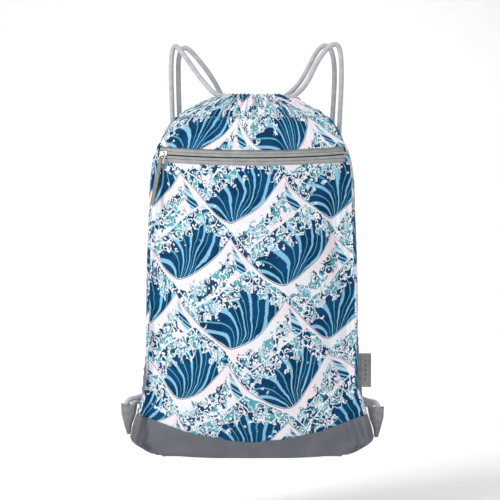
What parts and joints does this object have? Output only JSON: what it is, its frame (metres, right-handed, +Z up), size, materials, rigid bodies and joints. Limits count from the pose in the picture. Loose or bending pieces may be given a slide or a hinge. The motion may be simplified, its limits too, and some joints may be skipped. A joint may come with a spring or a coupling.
{
  "type": "drawstring backpack",
  "caption": "Drawstring backpack with a printed wave-pattern body, grey base, gathered top with cord straps to corner tabs, and a zipped front pocket",
  "frame": {"origin": "midway between the tops of the two strap loops, where the bag hangs", "axes": "+Z is up, -Y is the way the zipped front faces, +X is to the right seen from the front"},
  "size_m": [0.341, 0.105, 0.5386],
  "materials": {
    "print_fabric": "woven polyester, printed with a wave pattern in navy, teal and white",
    "base_fabric": "woven polyester, plain grey",
    "cord": "round braided polyester, light grey",
    "zip_tape": "woven zip tape, warm grey",
    "zip_coil": "moulded coil, behind the tape",
    "zip_metal": "plated die-cast metal, softly worn",
    "pull_strap": "narrow woven tape, taupe grey",
    "label": "woven label, plain grey",
    "lining": "light woven lining, grey",
    "binding": "folded woven tape",
    "webbing": "ribbed webbing, light grey",
    "thread": "polyester thread"
  },
  "bodies": {
    "bag": {"back_panel": "print_fabric", "base_binding_front": "binding", "base_binding_rear": "binding", "base_panel": "base_fabric", "casing_back": "print_fabric", "casing_front": "print_fabric", "cord_left_back": "cord", "cord_left_front": "cord", "cord_left_in_casing": "cord", "cord_right_back": "cord", "cord_right_front": "cord", "cord_right_in_casing": "cord", "corner_tab_left": "webbing", "corner_tab_right": "webbing", "front_pocket_panel": "print_fabric", "front_upper_panel": "print_fabric", "pocket_lining": "lining", "seam_binding_front_left": "binding", "seam_binding_front_right": "binding", "seam_binding_rear_left": "binding", "seam_binding_rear_right": "binding", "side_gusset_left": "print_fabric", "side_gusset_right": "print_fabric", "tab_bartacks_left": "thread", "tab_bartacks_right": "thread", "zip_coil_lower": "zip_coil", "zip_coil_upper": "zip_coil", "zip_stop_left": "thread", "zip_stop_right": "thread", "zip_tape_lower": "zip_tape", "zip_tape_upper": "zip_tape"},
    "slider": {"zip_slider": "zip_metal"},
    "pull_link": {"zip_pull_link": "zip_metal"},
    "pull_strap": {"zip_pull_strap": "pull_strap"},
    "label": {"side_label": "label"}
  },
  "joints": [
    {"name": "slider_travel", "type": "hinge", "parent": "bag", "child": "slider", "pos_m": [0, 0.2063, -0.08876], "axis": [0, -0.2187, 0.9758], "range_deg": [0, 52.39]},
    {"name": "link_swing", "type": "hinge", "parent": "slider", "child": "pull_link", "pos_m": [-0.11514, -0.02204, -0.14015], "axis": [-0.8973, 0.4307, 0.0965], "range_deg": [0, 95]},
    {"name": "strap_swing", "type": "hinge", "parent": "pull_link", "child": "pull_strap", "pos_m": [-0.11804, -0.02585, -0.15005], "axis": [-0.8973, 0.4307, 0.0965], "range_deg": [0, 80]},
    {"name": "label_fold", "type": "hinge", "parent": "bag", "child": "label", "pos_m": [0.1408, 0.006, -0.419], "axis": [0, 0, 1], "range_deg": [-60, 60], "stiffness_Nm_per_rad": 0.0004}
  ]
}
